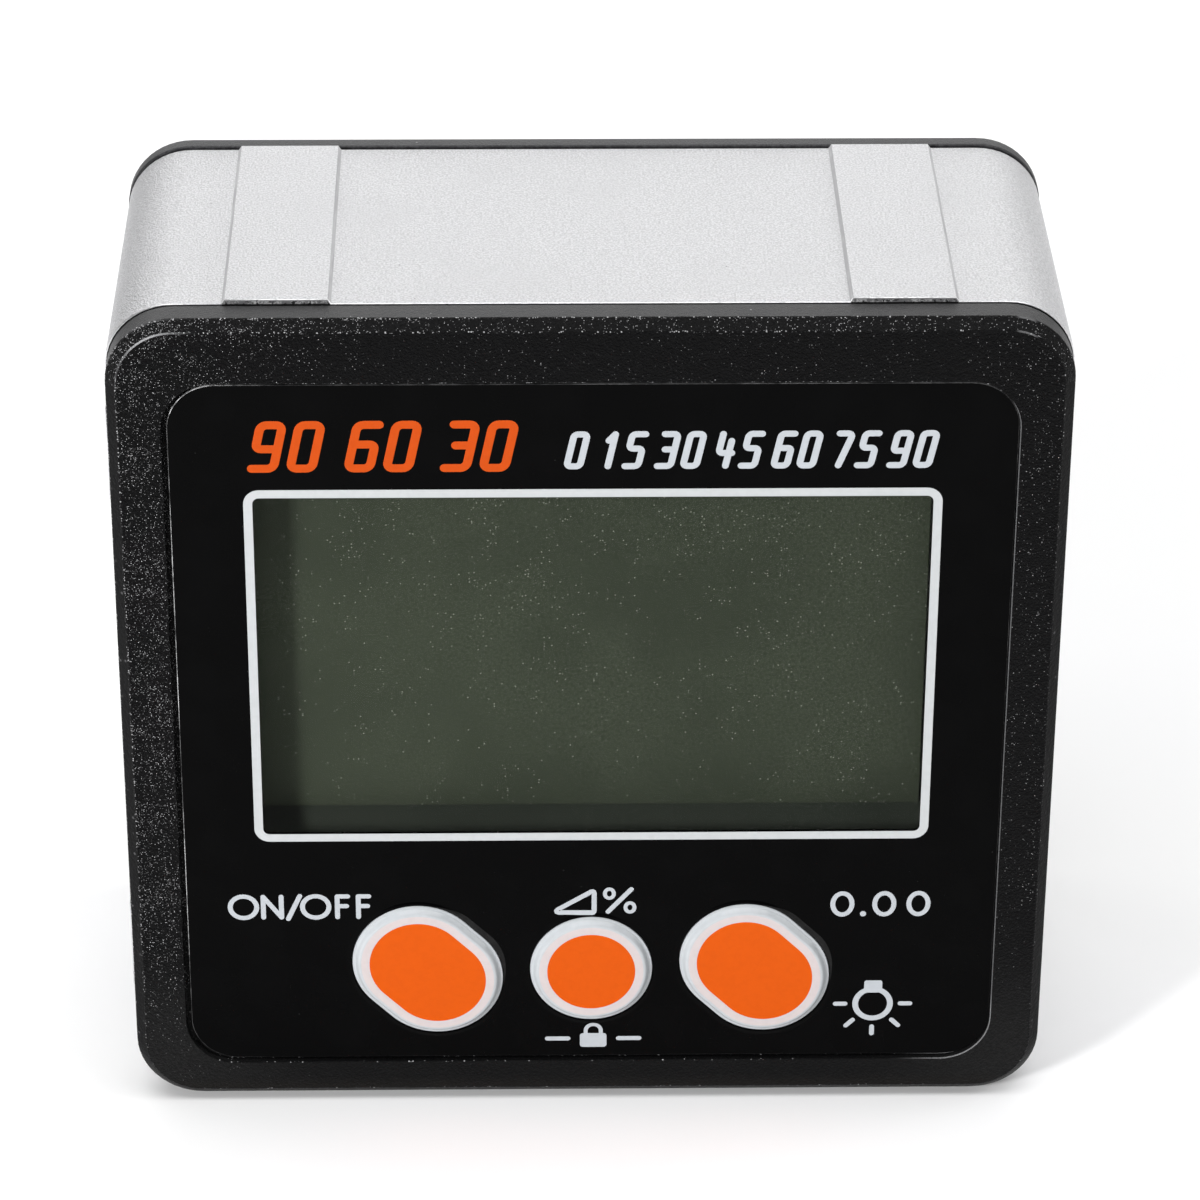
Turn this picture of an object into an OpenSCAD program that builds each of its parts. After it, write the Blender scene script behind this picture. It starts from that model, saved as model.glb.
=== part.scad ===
// Digital angle gauge: a square aluminium sleeve with raised reference pads,
// closed by a plastic front bezel and a rear cover that holds two cells.
// +X is right and +Y is back, seen from the front; +Z is up. Millimetres.
// The origin is at the middle of the footprint, on the plane of the lower pads.

/* [Case] */
// Width of the bezel
case_w = 61; // [61:0.5:64]
// Height of the bezel, and of the sleeve without pads
case_h = 58.4; // [58:0.2:60]
// How far the sleeve stands out beyond the bezel at each side
sleeve_proud = 0.15; // [0:0.05:0.2]
// Outside corner radius of the case
corner_r = 4.4; // [4:0.1:4.6]
// Length of the aluminium sleeve, front to back
sleeve_len = 23.7; // [23.5:0.1:26]
// Wall thickness of the sleeve
sleeve_wall = 2; // [1.8:0.1:2]
// Depth of the bezel in front of the sleeve
bezel_d = 2.76; // [2.6:0.02:3]
// Chamfer round the bezel's front edge
bezel_chamfer = 0.68; // [0.3:0.02:0.8]
// Thickness of the rear cover behind the sleeve
cover_d = 2.14; // [2.1:0.02:2.4]
// How far the rear cover stands out above and below the sleeve
cover_proud = 0.1; // [0:0.02:0.16]
// Chamfer round the rear cover's back edge
cover_chamfer = 0.7; // [0.3:0.1:0.9]
// Shadow gap round the case where the sleeve meets the bezel and the cover
shadow_gap = 0.26; // [0.06:0.02:0.3]

/* [Reference pads] */
// How far the upper and lower pads stand out of the sleeve
pad_h = 0.3; // [0.2:0.05:0.5]
// How far the side pads stand out of the sleeve
side_pad_h = 0.1; // [0.05:0.05:0.3]
// Width of a pad's flat top
pad_w = 6.45; // [5.8:0.05:6.6]
// Distance of the upper and lower pads from the middle
pad_x = 19.72; // [19:0.1:20]
// Distance of the side pads from mid height
pad_z = 18.6; // [17.5:0.1:19]
// Diameter of a base magnet
magnet_d = 5; // [4:0.1:5.2]
// Height of a base magnet
magnet_h = 2; // [1.6:0.1:2.2]

/* [Face] */
// Width of the recess that holds the printed film
recess_w = 54.2; // [53:0.1:54.4]
// Height of that recess
recess_h = 51.3; // [50:0.1:51.6]
// Height of the recess's middle above the case's lower edge
recess_z = 28.5; // [28.4:0.1:28.8]
// Thickness of the printed film
film_t = 0.25; // [0.2:0.01:0.3]
// Depth of the film's face below the bezel's front
film_drop = 0.3; // [0.2:0.05:0.4]
// How far the film and its keys sit to the right of the middle
film_x = 0.17; // [0:0.01:0.18]
// Height of the screen's middle above the case's lower edge
screen_z = 33.36; // [33:0.05:33.6]

/* [Keys] */
// Distance between neighbouring keys
key_pitch = 10.95; // [10.8:0.05:11.4]
// Height of the keys above the case's lower edge
key_z = 10.1; // [9.8:0.1:10.4]
// Diameter of the round middle key
key_d = 8.2; // [7.6:0.1:8.4]
// Radius of the two lobes of an outer key
lobe_r = 4.4; // [4.1:0.05:4.5]
// Half the offset between the two lobes, across and down
lobe_off = 0.64; // [0.4:0.02:0.7]
// Height of the key tops above the film
key_rise = 0.45; // [0.41:0.01:0.5]
// Travel of a key
key_travel = 0.3; // [0.2:0.05:0.35]

/* [Inside] */
// Diameter of a cell
cell_d = 10.5; // [10.1:0.1:10.5]
// Thickness of the circuit board
board_t = 1.2; // [1:0.1:1.2]
// Diameter of the battery wires, over the sleeve
wire_d = 1.2; // [1:0.1:1.3]

/* [Hidden] */
$fn = 64;

// s is the depth behind the bezel's front plane, z the height above the case's lower edge
sleeve_s0 = bezel_d;
sleeve_s1 = bezel_d + sleeve_len;
rear_s = sleeve_s1 + cover_d;
key_proud = key_rise - film_drop;
front_y = key_proud - (rear_s + key_proud) / 2;
mid_z = case_h / 2;
sleeve_w = case_w + 2 * sleeve_proud;
cover_w = sleeve_w + 0.1;
in_w = case_w - 2 * sleeve_wall;
in_h = case_h - 2 * sleeve_wall;
in_r = corner_r - sleeve_wall;

// Face stack
recess_d = film_drop + film_t;
plate_s = 2.1;
film_gap = 0.2;
key_slit = 0.06;
shell_t = 0.25;
key_top_s = film_drop - key_rise;
lcd_s = 3.2;
lcd_t = 2.2;
board_s0 = 7.3;
board_s1 = board_s0 + board_t;
win_w = 44.6;
win_h = 27.6;
win_z = screen_z - 0.66;
switch_s = 3.7;
plunger_r = 1.75;

// Corner posts, with the screws that hold the rear cover
post_x = 25.3;
post_z = 5.9;
post_r = 2.7;
post_s1 = sleeve_s1 - 2;
screw_seat_s = rear_s - 2.6;

// Board fixings
boss_x = 25.1;
boss_zs = [14.5, 44];
boss_r = 1.6;

// Battery box
cell_r = cell_d / 2;
cell_len = 44.5;
cell_s = rear_s - 1.9 - 5.25;
cell_z = 5.4;
box_x = 25;
box_z = 11.2;
box_wall = 1.2;
box_s0 = cell_s - 5.25 - 0.3;
contact_t = 0.35;
end_x = box_x - 0.05 - contact_t;
nub_x = end_x - 0.2;
door_x = 25.6;
door_z = 12.8;
door_t = 1.5;
hinge_z = mid_z + door_z;
tab_xs = [-14, 14];
tab_w = 5;

module face() translate([0, front_y, pad_h]) children();

// An outline drawn in x and z, from depth s0 to s1
module slab(s0, s1) translate([0, s1, 0]) rotate([90, 0, 0]) linear_extrude(height = s1 - s0) children();

module rrect(w, h, r) {
    square([w - 2 * r, h], center = true);
    square([w, h - 2 * r], center = true);
    for (i = [-1, 1], j = [-1, 1]) translate([i * (w / 2 - r), j * (h / 2 - r)]) circle(r);
}

// A round bar along the depth
module rod(x, z, r, s0, s1) translate([x, s0, z]) rotate([-90, 0, 0]) cylinder(r = r, h = s1 - s0);

module block(x0, x1, s0, s1, z0, z1) translate([x0, s0, z0]) cube([x1 - x0, s1 - s0, z1 - z0]);

// A rounded plate of thickness t with one chamfered face at depth 0
module chamfered_plate(w, h, r, c, t) {
    translate([-(w / 2 - r), 0, 0]) rotate([90, 0, 90]) linear_extrude(height = w - 2 * r)
        polygon([[0, -(h / 2 - c)], [0, h / 2 - c], [c, h / 2], [t, h / 2], [t, -h / 2], [c, -h / 2]]);
    for (i = [-1, 1]) translate([i * (w / 2 - r), 0, -(h / 2 - r)]) linear_extrude(height = h - 2 * r)
        polygon([[0, 0], [i * (r - c), 0], [i * r, c], [i * r, t], [0, t]]);
    for (q = [0, 1, 2, 3])
        translate([(q == 0 || q == 3 ? 1 : -1) * (w / 2 - r), 0, (q < 2 ? -1 : 1) * (h / 2 - r)])
            rotate([-90, 0, 0]) rotate([0, 0, 90 * q]) rotate_extrude(angle = 90)
                polygon([[0, 0], [r - c, 0], [r, c], [r, t], [0, t]]);
}

// Section of a pad of height h, standing on the line y = 0, with steep flanks
module pad_outline(h) {
    foot = pad_w / 2 + (h + 0.2) * 0.7;
    polygon([[-foot, -0.2], [-pad_w / 2, h], [pad_w / 2, h], [foot, -0.2]]);
}

// The eight pads, along the whole sleeve
module pads() {
    for (x = [-pad_x, pad_x], up = [0, 1])
        slab(sleeve_s0, sleeve_s1) translate([x, up * case_h]) rotate(180 * (1 - up)) pad_outline(pad_h);
    for (z = [-pad_z, pad_z], i = [-1, 1])
        slab(sleeve_s0, sleeve_s1) translate([i * sleeve_w / 2, mid_z + z]) rotate(-90 * i) pad_outline(side_pad_h);
}

magnet_s = [sleeve_s0 + sleeve_len * 0.22, sleeve_s0 + sleeve_len * 0.78];
module at_magnets() for (x = [-pad_x, pad_x], s = magnet_s) translate([x, s, -pad_h]) children();

module housing_frame() color("silver") face() difference() {
    union() {
        slab(sleeve_s0, sleeve_s1) translate([0, mid_z]) difference() {
            rrect(sleeve_w, case_h, corner_r);
            rrect(in_w, in_h, in_r);
        }
        pads();
        // Ribs over the base magnets
        for (x = [-pad_x, pad_x]) block(x - 3.9, x + 3.9, sleeve_s0, sleeve_s1, sleeve_wall - 0.5, sleeve_wall + 1.2);
    }
    at_magnets() translate([0, 0, -0.5]) cylinder(d = magnet_d + 0.1, h = magnet_h + 0.75);
}

module base_magnets() color("gainsboro") face() at_magnets() translate([0, 0, 0.15]) cylinder(d = magnet_d, h = magnet_h);

// Notches in the lips that clear the ribs over the base magnets
module rib_notches(s0, s1) for (x = [-pad_x, pad_x]) block(x - 4.3, x + 4.3, s0, s1, sleeve_wall - 0.5, sleeve_wall + 1.5);

// Land that a moulding meets the sleeve's end with, inside the shadow gap
module seat(s0, s1) slab(s0, s1) translate([0, mid_z]) rrect(case_w - 1, case_h - 1, corner_r - 0.5);

module lip(s0, s1) difference() {
    slab(s0, s1) translate([0, mid_z]) difference() {
        rrect(in_w - 0.2, in_h - 0.2, in_r - 0.1);
        rrect(in_w - 2.2, in_h - 2.2, in_r - 1.1);
    }
    rib_notches(s0 - 1, s1 + 1);
}

module at_posts() for (x = [-post_x, post_x], z = [post_z, case_h - post_z]) translate([x, 0, z]) children();

module key_outline(grow) for (d = [-lobe_off, lobe_off]) translate([d, -d]) circle(lobe_r + grow);

// Bar between the two lobes, so that the outline has straight flanks a hair inside the lobes' width
module lobed_outline(grow) {
    key_outline(grow);
    rotate(-45) square([2 * lobe_off * sqrt(2), 2 * (lobe_r + grow) - 0.02], center = true);
}

module key_holes(grow, s0, s1) {
    rod(film_x, key_z, key_d / 2 + grow, s0, s1);
    for (x = [-key_pitch, key_pitch]) slab(s0, s1) translate([film_x + x, key_z]) lobed_outline(grow);
}

module front_bezel() color([0.13, 0.13, 0.14]) face() difference() {
    union() {
        difference() {
            union() {
                translate([0, 0, mid_z]) chamfered_plate(case_w, case_h, corner_r, bezel_chamfer, bezel_d - shadow_gap);
                seat(bezel_d - 0.4, bezel_d);
            }
            slab(plate_s, bezel_d + 1) translate([0, mid_z]) rrect(in_w - 1.2, in_h - 1.2, in_r - 0.6);
        }
        lip(plate_s - 0.2, bezel_d + 2.3);
        slab(plate_s - 0.3, lcd_s) translate([0, win_z]) difference() {
            square([win_w + 2.2, win_h + 1.6], center = true);
            square([win_w, win_h], center = true);
        }
        at_posts() rod(0, 0, post_r, plate_s - 0.3, post_s1);
        for (x = [-boss_x, boss_x], z = boss_zs) rod(x, z, boss_r, plate_s - 0.3, board_s0);
    }
    slab(-1, recess_d) translate([0, recess_z]) rrect(recess_w, recess_h, 3.3);
    slab(-1, plate_s + 0.5) translate([0, win_z]) square([win_w, win_h], center = true);
    key_holes(0.25, -1, plate_s + 1);
    at_posts() rod(0, 0, 1.3, post_s1 - 8, post_s1 + 1);
    for (x = [-boss_x, boss_x], z = boss_zs) rod(x, z, 0.95, board_s0 - 3.6, board_s0 + 1);
}

module face_overlay() color([0.06, 0.06, 0.07]) face() difference() {
    slab(film_drop, recess_d) translate([film_x, recess_z]) rrect(recess_w - 2 * film_gap, recess_h - 2 * film_gap, 3.1);
    key_holes(key_slit, -1, 2);
}

// Pressed-up shape of a key: base radius rb, chamfered to its flat top
module key_profile(rb, s_top, s_base, slope) rotate([-90, 0, 0]) rotate_extrude()
    polygon([[0, s_top], [rb - slope, s_top], [rb, s_top + slope], [rb, s_base], [0, s_base]]);

module lobed_key(x) color([0.95, 0.4, 0.1]) face() translate([film_x + x, 0, key_z]) difference() {
    hull() for (d = [-lobe_off, lobe_off]) translate([d, 0, -d]) key_profile(lobe_r, key_top_s, recess_d, key_rise, $fn = 48);
    hull() for (d = [-lobe_off, lobe_off]) translate([d, 0, -d]) key_profile(lobe_r - shell_t, key_top_s + shell_t, recess_d + 1, key_rise - 0.1, $fn = 48);
}

module key_power() lobed_key(-key_pitch);
module key_zero() lobed_key(key_pitch);
module key_hold() color([0.95, 0.4, 0.1]) face() translate([film_x, 0, key_z]) difference() {
    key_profile(key_d / 2, key_top_s, recess_d, key_rise);
    key_profile(key_d / 2 - shell_t, key_top_s + shell_t, recess_d + 1, key_rise - 0.1);
}

// Plunger of a switch, from the under side of the key into the switch
module plunger(x) color("black") face() {
    rod(film_x + x, key_z, plunger_r, key_top_s + shell_t, switch_s + 1.8);
}
module plunger_power() plunger(-key_pitch);
module plunger_hold() plunger(0);
module plunger_zero() plunger(key_pitch);

module switch_bodies() color("dimgray") face() for (x = [film_x - key_pitch, film_x, film_x + key_pitch]) difference() {
    block(x - 3, x + 3, switch_s, board_s0, key_z - 3, key_z + 3);
    rod(x, key_z, plunger_r + 0.1, switch_s - 1, switch_s + 1.8 + key_travel + 0.2);
}

// Two bonded panes; the front one has a contact ledge above the rear one
module lcd_panel() color([0.3, 0.33, 0.27]) face() {
    block(-23.1, 23.1, lcd_s, lcd_s + lcd_t / 2, 18.3, 49.4);
    block(-23.1, 23.1, lcd_s + lcd_t / 2, lcd_s + lcd_t, 18.3, 46.9);
}

module light_guide() color("ivory") face() difference() {
    block(-22.4, 22.4, lcd_s + lcd_t + 0.05, board_s0 - 0.05, 18.6, 46.7);
    for (z = [27, 37]) block(-23, -21.9, 0, board_s0 + 1, z - 1.6, z + 1.6);
}

module backlight_leds() color("lightyellow") face() for (z = [27, 37]) block(-22.9, -22.0, board_s0 - 1.4, board_s0, z - 1.4, z + 1.4);

module zebra_strip() color("dimgray") face() block(-20, 20, lcd_s + lcd_t / 2, board_s0, 47.3, 49.1);

module main_board() color("darkgreen") face() difference() {
    slab(board_s0, board_s1) difference() {
        translate([-27, 4.2]) square([54, case_h - 8.4]);
        for (x = [-27, 27], z = [4.2, case_h - 4.2]) translate([x, z]) square([9.6, 9.6], center = true);
    }
    for (x = [-boss_x, boss_x], z = boss_zs) rod(x, z, 1.15, 0, 20);
}

module controller_chip() color("black") face() {
    block(-9, 1, board_s1 + 0.1, board_s1 + 1.5, 28, 38);
    for (x = [-8.2:1.2:0.4], z = [27.4, 38]) block(x - 0.2, x + 0.2, board_s1, board_s1 + 0.4, z, z + 0.6);
}

module tilt_sensor() color("black") face() block(6, 11, board_s1, board_s1 + 1.5, 20, 25);

module crystal() color("silver") face() translate([-16, board_s1 + 1.55, 22]) rotate([0, 90, 0]) cylinder(d = 3, h = 8);

module capacitors() color("navy") face() for (x = [-18, -13]) rod(x, 44, 2, board_s1, board_s1 + 4.8);

module board_screws() color("silver") face() for (x = [-boss_x, boss_x], z = boss_zs) difference() {
    union() {
        rod(x, z, 1.7, board_s1, board_s1 + 1.2);
        rod(x, z, 0.9, board_s1 - 4.2, board_s1 + 0.2);
    }
    block(x - 1, x + 1, board_s1 + 0.6, board_s1 + 2, z - 0.2, z + 0.2);
    block(x - 0.2, x + 0.2, board_s1 + 0.6, board_s1 + 2, z - 1, z + 1);
}

module cover_screws() color("dimgray") face() at_posts() difference() {
    union() {
        rod(0, 0, 2.3, screw_seat_s, screw_seat_s + 1.7);
        rod(0, 0, 1.25, screw_seat_s - 9, screw_seat_s + 0.2);
    }
    block(-1.4, 1.4, screw_seat_s + 0.7, screw_seat_s + 3, -0.3, 0.3);
    block(-0.3, 0.3, screw_seat_s + 0.7, screw_seat_s + 3, -1.4, 1.4);
}

module rear_cover() color([0.13, 0.13, 0.14]) face() difference() {
    union() {
        translate([0, rear_s, mid_z]) rotate([0, 0, 180]) chamfered_plate(cover_w, case_h + 2 * cover_proud, corner_r, cover_chamfer, cover_d - shadow_gap);
        seat(sleeve_s1, sleeve_s1 + 0.4);
        lip(sleeve_s1 - 2, sleeve_s1 + 0.3);
        at_posts() rod(0, 0, 3.2, post_s1, rear_s - 1);
        block(-box_x - box_wall, box_x + box_wall, box_s0 - box_wall, rear_s - 1, mid_z - box_z - box_wall, mid_z + box_z + box_wall);
    }
    // Room for the cells, and the opening with its ledge for the door
    block(-box_x, box_x, box_s0, rear_s + 1, mid_z - box_z, mid_z + box_z);
    block(-door_x, door_x, rear_s - door_t - 0.1, rear_s + 1, mid_z - door_z, mid_z + door_z);
    // Slots for the door's hooks, through the ledge and the box's upper wall
    for (x = tab_xs) block(x - tab_w / 2 - 0.4, x + tab_w / 2 + 0.4, rear_s - 4.2, rear_s - door_t, mid_z + box_z - 1, hinge_z + 0.05);
    for (x = tab_xs) block(x - tab_w / 2 - 0.4, x + tab_w / 2 + 0.4, rear_s - 4.2, sleeve_s1, mid_z + box_z - 1, hinge_z + 2.4);
    // Slot for the latch, and a nail notch below it
    block(-4.4, 4.4, rear_s - 4, rear_s - door_t, mid_z - door_z, mid_z - box_z + 1);
    block(-6, 6, rear_s - 1, rear_s + 1, mid_z - door_z - 2.6, mid_z - door_z + 1);
    // Screw holes with sunk seats
    at_posts() rod(0, 0, 1.5, post_s1 - 1, rear_s);
    at_posts() rod(0, 0, 2.6, screw_seat_s, rear_s + 1);
    // Slots in the box's floor for the contacts' tails
    for (z = [mid_z - cell_z, mid_z + cell_z]) block(end_x - 0.15, box_x, box_s0 - box_wall - 1, box_s0 + 1, z - 1.7, z + 1.7);
}

// Flush door: two hooks at its upper edge turn under the cover, a tongue latches its lower edge
module battery_door() color([0.13, 0.13, 0.14]) face() {
    difference() {
        block(-door_x + 0.2, door_x - 0.2, rear_s - door_t, rear_s, mid_z - door_z + 0.2, hinge_z - 0.1);
        // Spring slots beside the latch
        for (x = [-5.2, 4.4]) block(x, x + 0.8, rear_s - door_t - 1, rear_s + 1, mid_z - door_z - 1, mid_z - door_z + 6);
        // Finger grooves
        for (k = [0:3]) block(-3.6, 3.6, rear_s - 0.4, rear_s + 1, mid_z - door_z + 1.6 + 1.1 * k, mid_z - door_z + 2.1 + 1.1 * k);
    }
    block(-4, 4, rear_s - door_t - 1.9, rear_s - door_t, mid_z - door_z + 0.5, mid_z - door_z + 1.3);
    for (x = tab_xs) {
        block(x - tab_w / 2, x + tab_w / 2, rear_s - 3.4, rear_s - door_t, hinge_z - 1.1, hinge_z - 0.15);
        block(x - tab_w / 2, x + tab_w / 2, rear_s - 3.4, rear_s - 2.5, hinge_z - 0.2, hinge_z + 1.6);
    }
    // Ribs that press on the cells
    for (x = [-12, 12], z = [-cell_z, cell_z]) block(x - 0.6, x + 0.6, rear_s - door_t - 0.3, rear_s - door_t, mid_z + z - 2, mid_z + z + 2);
}

// A cell lying along x, its cap at the end with sign dir
module cell(dir, z) face() translate([dir * nub_x, cell_s, mid_z + z]) rotate([0, -90 * dir, 0]) rotate_extrude()
    polygon([[0, 0], [1.9, 0], [1.9, 1], [cell_r - 0.6, 1], [cell_r, 1.5], [cell_r, cell_len - 0.5], [cell_r - 0.6, cell_len], [0, cell_len]]);
module battery_upper() color("goldenrod") cell(1, cell_z);
module battery_lower() color("goldenrod") cell(-1, -cell_z);

// Flat contact at the end of one cell, with a tail through the box's floor
module contact_plate(z) {
    block(end_x, end_x + contact_t, box_s0 + 0.2, box_s0 + 9.4, mid_z + z - 4.4, mid_z + z + 4.4);
    block(end_x, end_x + contact_t, box_s0 - box_wall - 1.6, box_s0 + 0.5, mid_z + z - 1.4, mid_z + z + 1.4);
}
module dimple(dir, z) translate([dir * nub_x, cell_s, mid_z + z]) rotate([0, 90 * dir, 0]) cylinder(r = 1.5, h = 0.3);

module positive_contact() color("silver") face() {
    contact_plate(cell_z);
    dimple(1, cell_z);
}
module negative_contact() color("silver") face() contact_plate(-cell_z);
module bridge_contact() color("silver") face() {
    block(-end_x - contact_t, -end_x, box_s0 + 0.2, box_s0 + 9.4, mid_z - cell_z - 4.4, mid_z + cell_z + 4.4);
    dimple(-1, -cell_z);
}

// A tube of radius r along a list of points; each ring is square to the path
function unit(v) = v / norm(v);
function heading(p, i) = unit(i == 0 ? p[1] - p[0] : i == len(p) - 1 ? p[i] - p[i - 1] : unit(p[i + 1] - p[i]) + unit(p[i] - p[i - 1]));
module tube(p, r, sides, ref) {
    n = len(p);
    pts = [for (i = [0:n - 1]) let (t = heading(p, i), u = unit(cross(ref, t)), v = cross(t, u))
        for (k = [0:sides - 1]) p[i] + r * (cos(360 * k / sides) * u + sin(360 * k / sides) * v)];
    sides_f = [for (i = [0:n - 2], k = [0:sides - 1]) let (a = i * sides + k, b = i * sides + (k + 1) % sides)
        [a, b, b + sides, a + sides]];
    polyhedron(points = pts, faces = concat([[for (k = [sides - 1:-1:0]) k]], sides_f,
        [[for (k = [0:sides - 1]) (n - 1) * sides + k]]));
}

// Conical spring between a contact and the flat end of a cell
spring_wire = 0.3;
spring_turns = 3.5;
spring_len = end_x - (cell_len - nub_x) - 0.1;
function coil_point(t) = let (a = 360 * spring_turns * t, r = 3.5 - 1.5 * t)
    [r * cos(a), r * sin(a), spring_wire + 0.05 + (spring_len - 2 * spring_wire) * t];
module coil() tube([for (i = [0:49]) coil_point(i / 49)], spring_wire, 8, [0, 0, 1]);
module contact_springs() color("silver") face() {
    translate([-end_x, cell_s, mid_z + cell_z]) rotate([0, 90, 0]) coil();
    translate([end_x, cell_s, mid_z - cell_z]) rotate([0, -90, 0]) coil();
}

// Battery wires, from the contacts' tails to the board
tail_s = box_s0 - box_wall - 0.9;
function lead_route(z, x, dz) = [[end_x, tail_s, z], [end_x - 1, tail_s, z], [end_x - 2.2, tail_s - 0.2, z + 0.1 * dz],
    [end_x - 3.2, tail_s - 0.9, z + 0.3 * dz], [x + 0.5, tail_s - 2, z + 0.6 * dz], [x + 0.1, tail_s - 3, z + 0.85 * dz],
    [x, tail_s - 4, z + dz], [x, (tail_s - 4 + board_s1) / 2, z + dz], [x, board_s1, z + dz]];
module red_lead() color("red") face() tube(lead_route(mid_z + cell_z, end_x - 4.4, 1.5), wire_d / 2, 8, [0.1, 0.1, 1]);
module black_lead() color("black") face() tube(lead_route(mid_z - cell_z, end_x - 4.4, 1.5), wire_d / 2, 8, [0.1, 0.1, 1]);

housing_frame();
front_bezel();
rear_cover();
battery_door();
face_overlay();
key_power();
key_hold();
key_zero();
plunger_power();
plunger_hold();
plunger_zero();
switch_bodies();
lcd_panel();
light_guide();
backlight_leds();
zebra_strip();
main_board();
controller_chip();
tilt_sensor();
crystal();
capacitors();
battery_upper();
battery_lower();
positive_contact();
negative_contact();
bridge_contact();
contact_springs();
red_lead();
black_lead();
base_magnets();
cover_screws();
board_screws();
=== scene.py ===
import math

import bmesh
import bpy
from mathutils import Matrix, Vector
from mathutils.geometry import delaunay_2d_cdt


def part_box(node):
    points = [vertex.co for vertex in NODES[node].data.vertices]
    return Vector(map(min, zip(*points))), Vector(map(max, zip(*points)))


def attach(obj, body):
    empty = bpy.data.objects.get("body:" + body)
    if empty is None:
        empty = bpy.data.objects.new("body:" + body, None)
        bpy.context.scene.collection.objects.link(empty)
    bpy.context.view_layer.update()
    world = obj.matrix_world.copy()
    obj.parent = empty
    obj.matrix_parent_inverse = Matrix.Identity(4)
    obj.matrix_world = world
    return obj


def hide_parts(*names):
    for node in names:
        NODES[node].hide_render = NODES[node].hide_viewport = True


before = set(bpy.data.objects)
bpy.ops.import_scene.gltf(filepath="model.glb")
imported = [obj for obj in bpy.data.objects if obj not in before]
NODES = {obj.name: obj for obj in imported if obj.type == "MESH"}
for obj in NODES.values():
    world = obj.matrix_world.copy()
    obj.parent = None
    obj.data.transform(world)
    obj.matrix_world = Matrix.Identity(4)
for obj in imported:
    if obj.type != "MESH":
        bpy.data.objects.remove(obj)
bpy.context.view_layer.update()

MM = 1e-3

# Face frame: x to the right, s the depth behind the bezel's front plane, z the height above the case's lower edge (mm)
FRONT_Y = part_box("front_bezel")[0].y
LOWER_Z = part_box("front_bezel")[0].z


def at(x, s, z):
    return Vector((x * MM, FRONT_Y + s * MM, LOWER_Z + z * MM))


# ---------------------------------------------------------------- materials


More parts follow.
